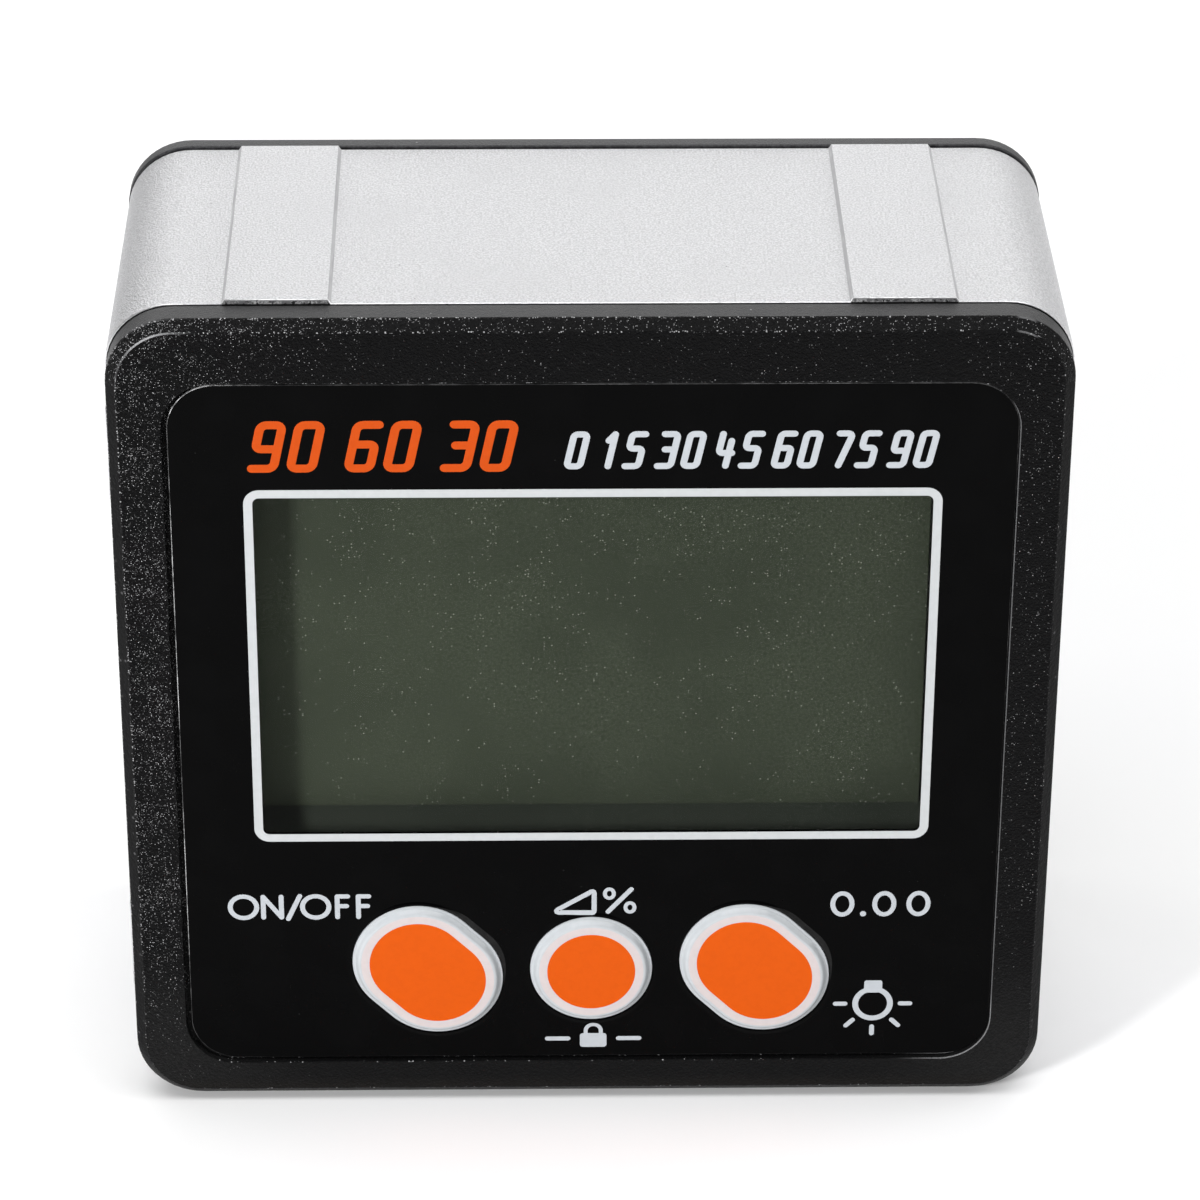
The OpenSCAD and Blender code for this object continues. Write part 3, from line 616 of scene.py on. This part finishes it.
def stroke(points, w, caps=7):
    """Outline of an open line of width w with round ends."""
    n = len(points)
    dirs = []
    for i in range(n):
        a, b = points[max(i - 1, 0)], points[min(i + 1, n - 1)]
        d = math.hypot(b[0] - a[0], b[1] - a[1]) or 1.0
        dirs.append(((b[0] - a[0]) / d, (b[1] - a[1]) / d))
    left, right = [], []
    for i, ((x, z), (dx, dz)) in enumerate(zip(points, dirs)):
        k = 1.0
        if 0 < i < n - 1:
            a = points[i - 1]
            d = math.hypot(x - a[0], z - a[1]) or 1.0
            k = 1.0 / max(0.5, ((x - a[0]) * dx + (z - a[1]) * dz) / d)
        left.append((x - dz * w / 2 * k, z + dx * w / 2 * k))
        right.append((x + dz * w / 2 * k, z - dx * w / 2 * k))

    def cap(p, d):
        a0 = math.atan2(-d[0], d[1])
        return [(p[0] + w / 2 * math.cos(a0 + math.pi * k / caps), p[1] + w / 2 * math.sin(a0 + math.pi * k / caps)) for k in range(1, caps)]

    end = cap(points[-1], dirs[-1])
    start = cap(points[0], (-dirs[0][0], -dirs[0][1]))
    return (right + end + left[::-1] + start, [])


def ring_stroke(points, w):
    """A closed line of width w: its outer loop and its inner loop."""
    n = len(points)
    out, inn = [], []
    area = sum(points[i][0] * points[(i + 1) % n][1] - points[(i + 1) % n][0] * points[i][1] for i in range(n))
    sign = 1.0 if area > 0 else -1.0
    for i in range(n):
        a, p, b = points[i - 1], points[i], points[(i + 1) % n]
        dx, dz = b[0] - a[0], b[1] - a[1]
        d = math.hypot(dx, dz) or 1.0
        nx, nz = sign * dz / d, -sign * dx / d
        e = math.hypot(p[0] - a[0], p[1] - a[1]) or 1.0
        k = 1.0 / max(0.5, ((p[0] - a[0]) * dx + (p[1] - a[1]) * dz) / (d * e))
        out.append((p[0] + nx * w / 2 * k, p[1] + nz * w / 2 * k))
        inn.append((p[0] - nx * w / 2 * k, p[1] - nz * w / 2 * k))
    return (out, [inn])


def filleted(points, r, closed, n=5):
    res = []
    m = len(points)
    for i, p in enumerate(points):
        if not closed and i in (0, m - 1):
            res.append(p)
            continue
        a, b = points[i - 1], points[(i + 1) % m]
        la, lb = math.hypot(a[0] - p[0], a[1] - p[1]), math.hypot(b[0] - p[0], b[1] - p[1])
        ua, ub = ((a[0] - p[0]) / la, (a[1] - p[1]) / la), ((b[0] - p[0]) / lb, (b[1] - p[1]) / lb)
        c = max(-1.0, min(1.0, ua[0] * ub[0] + ua[1] * ub[1]))
        half = math.acos(c) / 2
        t = min(r / math.tan(half), la * 0.48, lb * 0.48)
        rr = t * math.tan(half)
        mid = (ua[0] + ub[0], ua[1] + ub[1])
        lm = math.hypot(*mid)
        cx, cz = p[0] + mid[0] / lm * rr / math.sin(half), p[1] + mid[1] / lm * rr / math.sin(half)
        p0, p1 = (p[0] + ua[0] * t, p[1] + ua[1] * t), (p[0] + ub[0] * t, p[1] + ub[1] * t)
        a0, a1 = math.atan2(p0[1] - cz, p0[0] - cx), math.atan2(p1[1] - cz, p1[0] - cx)
        while a1 - a0 > math.pi:
            a1 -= 2 * math.pi
        while a1 - a0 < -math.pi:
            a1 += 2 * math.pi
        for k in range(n + 1):
            res.append((cx + rr * math.cos(a0 + (a1 - a0) * k / n), cz + rr * math.sin(a0 + (a1 - a0) * k / n)))
    return res


def ellipse(cx, cz, rx, rz, n=36, a0=0.0, a1=360.0):
    full = abs(a1 - a0) >= 359.9
    m = n if full else n + 1
    return [(cx + rx * math.cos(math.radians(a0 + (a1 - a0) * k / n)), cz + rz * math.sin(math.radians(a0 + (a1 - a0) * k / n))) for k in range(m)]


# Squared numerals: centre lines in a unit box, (closed?, points)
NUMERALS = {
    "0": [(True, [(0, 0), (1, 0), (1, 1), (0, 1)])],
    "1": [(False, [(0.28, 0.80), (0.66, 1.0)]), (False, [(0.66, 1.0), (0.66, 0.0)])],
    "3": [(False, [(0, 1), (1, 1), (1, 0), (0, 0)]), (False, [(0.28, 0.52), (1, 0.52)])],
    "4": [(False, [(0, 1), (0, 0.40), (1, 0.40)]), (False, [(0.76, 0.78), (0.76, 0)])],
    "5": [(False, [(1, 1), (0, 1), (0, 0.55), (1, 0.55), (1, 0), (0, 0)])],
    "6": [(False, [(1, 1), (0, 1), (0, 0), (1, 0), (1, 0.55), (0.5, 0.55)]), (False, [(0.0, 0.55), (0.5, 0.55)])],
    "7": [(False, [(0, 1), (1, 1), (0.5, 0)])],
    "9": [(False, [(0, 0), (1, 0), (1, 1), (0, 1), (0, 0.45), (0.5, 0.45)]), (False, [(0.5, 0.45), (1.0, 0.45)])],
}


def numerals(groups, x0, x1, z0, z1, w, digit_w, gap, slant):
    """Slanted squared numerals, spread from x0 to x1."""
    shapes = []
    h = z1 - z0 - w
    lean = math.tan(math.radians(slant))
    width = [len(g) * digit_w + (len(g) - 1) * gap for g in groups]
    space = (x1 - x0 - lean * h - sum(width)) / max(1, len(groups) - 1)
    x = x0
    for g, gw in zip(groups, width):
        for i, ch in enumerate(g):
            ox = x + i * (digit_w + gap)
            for closed, pts in NUMERALS[ch]:
                line = [(ox + w / 2 + px * (digit_w - w), z0 + w / 2 + pz * h) for px, pz in pts]
                if len(line) > 2:
                    line = filleted(line, 0.2 * digit_w, closed)
                line = [(px + (pz - z0 - w / 2) * lean, pz) for px, pz in line]
                shapes.append(ring_stroke(line, w) if closed else stroke(line, w))
        x += gw + space
    return shapes


def signs_white():
    w = 0.33
    out = []

    def line(*pts):
        out.append(stroke(list(pts), w))

    # ON/OFF
    zb, zt = 14.12 + w / 2, 16.08 - w / 2
    zm, hh = (zb + zt) / 2, (zt - zb) / 2
    out.append(ring_stroke(ellipse(-22.98, zm, 0.88, hh + 0.03), w))
    line((-21.66, zb), (-21.66, zt))
    line((-21.66, zt), (-20.46, zb))
    line((-20.46, zb), (-20.46, zt))
    line((-20.02, zb - 0.12), (-19.22, zt + 0.05))
    out.append(ring_stroke(ellipse(-18.18, zm, 0.88, hh + 0.03), w))
    for x in (-16.74, -15.34):
        line((x, zb), (x, zt))
        line((x, zt), (x + 0.7, zt))
        line((x, zm + 0.05), (x + 0.62, zm + 0.05))
    # 0.00
    for x in (16.9, 19.7, 21.98):
        out.append(ring_stroke(ellipse(x, zm, 0.64, hh + 0.02), w))
    out.append((ellipse(18.3, zb + 0.03, 0.21, 0.21, 14), []))
    # Slope sign and per cent
    tri = filleted([(-2.45, 14.55), (0.35, 14.55), (0.35, 16.3)], 0.12, True, 3)
    out.append(ring_stroke(tri, w))
    line((1.28, 14.6), (2.82, 16.36))
    out.append(ring_stroke(ellipse(1.36, 16.02, 0.3, 0.36, 20), 0.26))
    out.append(ring_stroke(ellipse(2.74, 14.92, 0.3, 0.36, 20), 0.26))
    # Padlock between two bars
    out.append((filleted([(-0.57, 3.72), (1.23, 3.72), (1.23, 4.84), (-0.57, 4.84)], 0.2, True, 4), []))
    out.append(stroke([(-0.18, 4.8)] + ellipse(0.33, 5.05, 0.51, 0.5, 14, 180, 0) + [(0.84, 4.8)], 0.27))
    line((-2.77, 4.42), (-1.37, 4.42))
    line((2.03, 4.42), (3.43, 4.42))
    # Lamp
    cx, cz = 19.17, 7.11
    out.append(ring_stroke(ellipse(cx, cz, 1.175, 1.175), 0.39))
    out.append((filleted([(cx - 0.62, 8.0), (cx + 0.62, 8.0), (cx + 0.6, 8.98), (cx - 0.6, 8.98)], 0.14, True, 4), []))
    for a, r0, r1 in ((180, 1.86, 2.52), (0, 1.86, 2.52), (225, 1.86, 2.5), (315, 1.86, 2.5), (270, 1.86, 2.42)):
        c, s = math.cos(math.radians(a)), math.sin(math.radians(a))
        line((cx + c * r0, cz + s * r0), (cx + c * r1, cz + s * r1))
    # Scale numerals
    out += numerals(["0", "15", "30", "45", "60", "75", "90"], -1.75, 22.1, 47.9, 50.6, 0.43, 1.27, 0.36, 12.0)
    return out


def signs_orange():
    return numerals(["90", "60", "30"], -21.75, -4.5, 47.75, 51.4, 0.56, 1.95, 0.5, 12.0)


# ---------------------------------------------------------------- printed film

FILM_S, FILM_BACK, FILM_R = 0.30, 0.55, 3.1
film_lo, film_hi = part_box("face_overlay")
FILM_W, FILM_H = (film_hi.x - film_lo.x) / MM, (film_hi.z - film_lo.z) / MM
FILM_X, FILM_Z = (film_lo.x + film_hi.x) / 2 / MM, ((film_lo.z + film_hi.z) / 2 - LOWER_Z) / MM
EDGE = 0.045
SLIT = 0.06
FRAME_OUT = (44.48, 26.26, 1.0, 33.36)
FRAME_IN = (43.32, 25.10, 0.42, 33.36)


def on_film(x, s, z):
    """As at(), with x from the film's own middle."""
    return at(x + FILM_X, s, z)


def film_rise(x, z):
    """The film swells a little towards each key."""
    d = min(key_distance(k, x, z) for k in KEYS)
    if d > 0.44:
        return 0.0
    t = 1.0 - max(0.0, d - SLIT) / (0.44 - SLIT)
    return 0.10 * t * t * (3 - 2 * t)


def film_surface(bm, depth, loops, regions, hole_loops, outline, flip, rise):
    """One face of the film, cut along every loop. regions: (test, material index), first match wins."""
    verts, edges = [], []
    for loop in loops:
        base = len(verts)
        verts += [Vector(p) for p in loop]
        edges += [(base + i, base + (i + 1) % len(loop)) for i in range(len(loop))]
    co, ed, tris, ov, oe, of = delaunay_2d_cdt(verts, edges, [], 0, 1e-5)
    made = {}
    for t in tris:
        x = sum(co[i].x for i in t) / 3
        z = sum(co[i].y for i in t) / 3
        if not inside(outline, x, z) or any(inside(h, x, z) for h in hole_loops):
            continue
        idx = next((m for test, m in regions if test(x, z)), 0)
        vs = []
        for i in t:
            if i not in made:
                px, pz = co[i].x, co[i].y
                made[i] = bm.verts.new(on_film(px, depth - (film_rise(px, pz) if rise else 0.0), pz))
            vs.append(made[i])
        a, b, c = vs
        n = (b.co - a.co).cross(c.co - a.co)
        if n.length < 1e-16:
            continue
        if (n.y > 0) != flip:
            vs.reverse()
        f = bm.faces.new(vs)
        f.material_index = idx


def shape_test(shapes):
    boxes = []
    for out, holes in shapes:
        xs, zs = [p[0] for p in out], [p[1] for p in out]
        boxes.append((min(xs), max(xs), min(zs), max(zs), out, holes))

    def test(x, z):
        for x0, x1, z0, z1, out, holes in boxes:
            if x0 <= x <= x1 and z0 <= z <= z1 and inside(out, x, z) and not any(inside(h, x, z) for h in holes):
                return True
        return False

    return test


def loft(bm, rings, mat, closed_top=None):
    """Quads between rings of equal length, each a list of world points."""
    rows = [[bm.verts.new(p) for p in ring] for ring in rings]
    n = len(rows[0])
    for a, b in zip(rows, rows[1:]):
        for i in range(n):
            f = bm.faces.new((a[i], a[(i + 1) % n], b[(i + 1) % n], b[i]))
            f.material_index = mat
    return rows


def beside_key(which, n=24):
    """Outline of the band of film that is drawn up along a key's upper right flank; there it is glossier and painted
    lighter: a painted reflection.
    """
    cx, r, off = KEYS[which]
    near, far = [], []
    for k in range(n + 1):
        t = k / n
        deg = 78 - 84 * t
        a, side = math.radians(deg), (-1 if deg > 45 else 1)
        for loop, grow in ((near, SLIT + 0.015), (far, SLIT + 0.03 + 0.36 * math.sin(math.pi * t) ** 1.4)):
            loop.append((cx + side * off + (r + grow) * math.cos(a), KEY_Z - side * off + (r + grow) * math.sin(a)))
    return far + near[::-1]


def build_film():
    bm = bmesh.new()
    def from_middle(shapes):
        return [([(x - FILM_X, z) for x, z in out], [[(x - FILM_X, z) for x, z in hole] for hole in holes]) for out, holes in shapes]

    white, orange = from_middle(signs_white()), from_middle(signs_orange())
    frame_out = rrect(*FRAME_OUT[:3], FRAME_OUT[3], 8)
    frame_in = rrect(*FRAME_IN[:3], FRAME_IN[3], 6)
    outline = rrect(FILM_W - 2 * EDGE, FILM_H - 2 * EDGE, FILM_R - EDGE, FILM_Z, 14)
    holes = [key_loop(k, SLIT) for k in KEYS]
    # Bands beside the outer keys with glossier, lighter film: a painted reflection.
    drawn = [beside_key("power"), beside_key("zero")]
    loops = [outline, frame_out, frame_in] + holes + drawn
    for k in KEYS:
        loops += [key_loop(k, SLIT + g) for g in (0.1, 0.2, 0.3, 0.38, 0.5)]
    for out, inner in white + orange:
        loops += [out] + inner
    in_white, in_orange = shape_test(white), shape_test(orange)
    regions = [
        (lambda x, z: inside(frame_in, x, z), 3),
        (lambda x, z: inside(frame_out, x, z), 1),
        (in_white, 4),
        (in_orange, 2),
        (lambda x, z: any(inside(loop, x, z) for loop in drawn), 6),
    ]
    film_surface(bm, FILM_S, loops, regions, holes, outline, False, True)
    # Rounded rim and the film's edge
    rings = []
    for k in range(6):
        a = math.radians(90 * k / 5)
        e = EDGE * (1 - math.sin(a))
        rings.append([on_film(x, FILM_S + EDGE * (1 - math.cos(a)), z) for x, z in rrect(FILM_W - 2 * e, FILM_H - 2 * e, FILM_R - e, FILM_Z, 14)])
    rings.append([on_film(x, FILM_BACK, z) for x, z in rrect(FILM_W, FILM_H, FILM_R, FILM_Z, 14)])
    loft(bm, rings, 5)
    for k in KEYS:
        loop = key_loop(k, SLIT)
        loft(bm, [[on_film(x, FILM_S - film_rise(x, z), z) for x, z in loop], [on_film(x, FILM_BACK, z) for x, z in loop]], 0)
    # Back of the film
    back = rrect(FILM_W, FILM_H, FILM_R, FILM_Z, 14)
    film_surface(bm, FILM_BACK, [back, frame_in] + holes, [(lambda x, z: inside(frame_in, x, z), 3)], holes, back, True, False)
    bmesh.ops.remove_doubles(bm, verts=bm.verts, dist=1.5e-6)
    bmesh.ops.recalc_face_normals(bm, faces=bm.faces)
    return add_piece("printed_film", bm, ["film", "white", "orange_print", "clear", "letter", "film_edge", "film_sheen_band"], "case", node="face_overlay", sharp=50.0)


def build_key(which):
    bm = bmesh.new()
    # inset from the outline, depth, material of the band that starts here
    profile = [(0.0, 0.55, 0), (0.0, 0.30, 0), (0.012, 0.272, 0), (0.05, 0.258, 0), (0.14, 0.25, 0), (0.19, 0.228, 0), (0.25, 0.155, 0),
               (0.32, 0.05, 0), (0.39, -0.05, 0), (0.445, -0.105, 0), (0.51, -0.134, 0), (0.60, -0.147, 1), (0.72, -0.15, 1),
               (0.95, -0.15, 1), (1.15, -0.15, 2), (1.5, -0.15, 2), (2.2, -0.15, 2)]
    rows = [[bm.verts.new(on_film(x, s, z)) for x, z in key_loop(which, -t)] for t, s, m in profile]
    n = len(rows[0])
    for j in range(len(rows) - 1):
        for i in range(n):
            bm.faces.new((rows[j][i], rows[j][(i + 1) % n], rows[j + 1][(i + 1) % n], rows[j + 1][i])).material_index = profile[j][2]
    bm.faces.new(rows[-1]).material_index = 2
    # Inside of the pressed-up shell
    under = [(0.0, 0.55), (0.25, 0.55), (0.25, 0.40), (0.62, 0.12), (0.75, 0.10), (2.0, 0.10)]
    inner = [rows[0]] + [[bm.verts.new(on_film(x, s, z)) for x, z in key_loop(which, -t)] for t, s in under[1:]]
    for a, b in zip(inner, inner[1:]):
        for i in range(n):
            bm.faces.new((a[i], b[i], b[(i + 1) % n], a[(i + 1) % n])).material_index = 0
    bm.faces.new(inner[-1][::-1]).material_index = 0
    bmesh.ops.recalc_face_normals(bm, faces=bm.faces)
    return add_piece("key_cap_" + which, bm, ["key_white", "key_inner", "key_orange"], which + "_key", node="key_" + which, sharp=60.0)


def build_plate(name, x0, x1, s0, s1, z0, z1, mat, body, r=0.04):
    """A thin plate with rounded edges."""
    bm = bmesh.new()
    bmesh.ops.create_cube(bm, size=1.0)
    lo, hi = at(x0, s0, z0), at(x1, s1, z1)
    for v in bm.verts:
        v.co = Vector((lo[i] if v.co[i] < 0 else hi[i] for i in range(3)))
    bmesh.ops.bevel(bm, geom=list(bm.edges), offset=r * MM, offset_type="OFFSET", segments=2, profile=0.5, affect="EDGES", clamp_overlap=True)
    return add_piece(name, bm, [mat], body, sharp=50.0)


build_film()
for key in KEYS:
    build_key(key)

OUT_W, OUT_H, CORNER, SLEEVE_0, SLEEVE_1, REAR_S = 30.5, 58.4, 4.4, 2.76, 26.46, 28.6


def inset(p, half_w=OUT_W):
    """How far a point lies inside the case's outline."""
    qx, qz = abs(p[0]) - (half_w - CORNER), abs(p[2] - OUT_H / 2) - (OUT_H / 2 - CORNER)
    return CORNER - math.hypot(max(qx, 0.0), max(qz, 0.0)) - min(max(qx, qz), 0.0)


def both(test):
    return lambda p, q: test(p) and test(q)


def moulding_faces(n, c):
    """1 for the smooth outer wall, 3 for a smooth chamfer, 4 for the upper chamfer (a lighter copy: painted light), 0
    for the textured faces.
    """
    if abs(n.y) < 0.3 and inset(c) < 0.2:
        return 1
    # The rear cover's front rim takes the walls' lighter colour: painted light in the shade of the joint.
    if n.y < -0.9 and SLEEVE_1 + 0.05 < c[1] < SLEEVE_1 + 0.4:
        return 1
    if 0.3 < abs(n.y) < 0.95 and inset(c) < 0.8:
        return 4 if n.z > 0.05 else 3
    return 0


MOULDING = ["black", "black_wall", "black_edge", "black_chamfer", "black_top_lit"]
# Bezel: the edges that show are rounded, the hidden bosses keep theirs
softened("front_bezel", "bezel_shell", MOULDING, "case", [
    (both(lambda p: 2.3 < p[1] < 2.7 and inset(p) < 0.1), 0.04),
    (both(lambda p: 0.6 < p[1] < 0.75 and inset(p) < 0.1), 0.09),
    (both(lambda p: p[1] < 0.05 and (inset(p) < 1.0 or p[0] > -26.0)), 0.065),
    (both(lambda p: p[1] < 0.6 and p[0] > -26.0), 0.03),
], paint=moulding_faces, edge=2)


def at_sleeve_end(p):
    return p[1] < SLEEVE_0 + 0.05 or p[1] > SLEEVE_1 - 0.05


def sleeve_faces(n, c):
    """1 for the sawn ends, 3 for the pads' flanks, 0 for the blasted faces."""
    if abs(n.y) > 0.9:
        return 1
    upright = abs(n.x) if abs(c[2] - OUT_H / 2) > OUT_H / 2 - 0.1 else abs(n.z)
    return 3 if upright > 0.6 and (abs(c[2] - OUT_H / 2) > OUT_H / 2 or abs(c[0]) > OUT_W + 0.1) else 0


softened("housing_frame", "sleeve_shell", ["aluminium", "aluminium_cut", "aluminium_edge", "aluminium_flank"], "case", [
    (lambda p, q: at_sleeve_end(p) and abs(p[1] - q[1]) < 0.05 and max(inset(p), inset(q)) < -0.25, 0.12),
    (lambda p, q: at_sleeve_end(p) and abs(p[1] - q[1]) < 0.05 and max(inset(p), inset(q)) < 0.35, 0.08),
], paint=sleeve_faces, edge=2)
# Its rounded edges take the walls' lighter copy too: painted light that narrows the joint's shade.
softened("rear_cover", "rear_shell", ["black", "black_wall_rear_lit", "black_edge", "black_chamfer", "black_top_lit"], "case", [
    (both(lambda p: SLEEVE_1 + 0.05 < p[1] < SLEEVE_1 + 0.4 and inset(p) < 0.1), 0.15),
    (both(lambda p: SLEEVE_1 + 0.5 < p[1] < REAR_S - 0.6 and inset(p) < 0.1), 0.14),
    (both(lambda p: p[1] > REAR_S - 0.05), 0.08),
], paint=moulding_faces, edge=1)
softened("battery_door", "door_shell", ["black", "black_edge"], "door", [
    (both(lambda p: p[1] > REAR_S - 0.45), 0.08),
    (lambda p, q: True, 0.05),
], edge=1)
softened("cover_screws", "screw_heads", ["screw"], "case", [
    (both(lambda p: p[1] > REAR_S - 1.0), 0.07),
])
softened("base_magnets", "magnet_discs", ["nickel"], "case", [(lambda p, q: True, 0.12)])

build_plate("screen_polariser", -21.95, 21.95, 3.02, 3.19, 21.35, 46.3, "screen", "case")
cad_look("lcd_panel", "screen_bare")
cad_look("plunger_power", "switch")
cad_look("plunger_hold", "switch")
cad_look("plunger_zero", "switch")
cad_look("switch_bodies", "switch")
cad_look("light_guide", "light_guide")
cad_look("backlight_leds", "led")
cad_look("zebra_strip", "elastomer")
cad_look("main_board", "board")
cad_look("controller_chip", "chip")
cad_look("tilt_sensor", "chip")
cad_look("crystal", "steel")
cad_look("capacitors", "capacitor")
cad_look("battery_upper", "cell_right")
cad_look("battery_lower", "cell_left")
cad_look("positive_contact", "nickel")
cad_look("negative_contact", "nickel")
cad_look("bridge_contact", "nickel")
cad_look("contact_springs", "nickel")
cad_look("red_lead", "wire_red")
cad_look("black_lead", "wire_black")
cad_look("board_screws", "steel")


# ---------------------------------------------------------------- floor, light, camera


def build_floor():
    bm = bmesh.new()
    bmesh.ops.create_circle(bm, cap_ends=True, radius=3.0, segments=64)
    me = bpy.data.meshes.new("floor")
    bm.to_mesh(me)
    bm.free()
    s = Surface("floor_paper", (0.92, 0.92, 0.92), 0.9, specular=0.0)
    s.blend(s.remap(s.noise(0.02, detail=2.0), 0.4, 0.6), (0.91, 0.91, 0.915))
    me.materials.append(s.m)
    ob = bpy.data.objects.new("floor", me)
    bpy.context.scene.collection.objects.link(ob)


def softbox(name, place, aim, size_x, size_y, watts, color=(1, 1, 1)):
    light = bpy.data.lights.new(name, "AREA")
    light.shape = "RECTANGLE"
    light.size, light.size_y = size_x, size_y
    light.energy = watts
    light.color = color
    ob = bpy.data.objects.new(name, light)
    ob.location = place
    ob.rotation_mode = "QUATERNION"
    ob.rotation_quaternion = (Vector(aim) - Vector(place)).to_track_quat("-Z", "Y")
    ob.visible_camera = False
    bpy.context.scene.collection.objects.link(ob)
    return ob


build_floor()
world = bpy.data.worlds.new("studio")
world.use_nodes = True
world.node_tree.nodes["Background"].inputs["Color"].default_value = (1.0, 1.0, 1.0, 1.0)
world.node_tree.nodes["Background"].inputs["Strength"].default_value = 0.13
bpy.context.scene.world = world

CENTRE = Vector((0, 0, 0.03))
az, el, dist = math.radians(42.5), math.radians(20), 0.7
key_light = softbox("key_light", CENTRE + dist * Vector((-math.sin(az) * math.cos(el), -math.cos(az) * math.cos(el), math.sin(el))), CENTRE, 0.11, 0.16, 4.5)
key_light.visible_glossy = False
softbox("rear_light", (0.0, 0.85, 0.36), CENTRE, 0.95, 0.75, 3.7)
softbox("top_light", (0.05, -0.1, 1.0), Vector((0.05, -0.1, 0)), 1.3, 0.85, 9.5)
softbox("fill_light", (0.75, 0.05, 0.42), CENTRE, 0.5, 0.5, 2.0)

cam_data = bpy.data.cameras.new("camera")
cam_data.lens = 146.607
cam_data.sensor_width = 36.0
cam_data.clip_start = 0.02
cam_data.clip_end = 20.0
cam = bpy.data.objects.new("camera", cam_data)
right = Vector((0.99982976, -0.01780842, 0.00482869))
down = Vector((-0.00449086, -0.48869323, -0.87244413))
forward = Vector((0.0178966, 0.87227392, -0.48869001))
m = Matrix((right, -down, -forward)).transposed().to_4x4()
m.translation = at(-4.993, -273.671, 191.902)
cam.matrix_world = m
bpy.context.scene.collection.objects.link(cam)
bpy.context.scene.camera = cam

bpy.context.scene.view_settings.view_transform = "Standard"
bpy.context.scene.view_settings.look = "None"
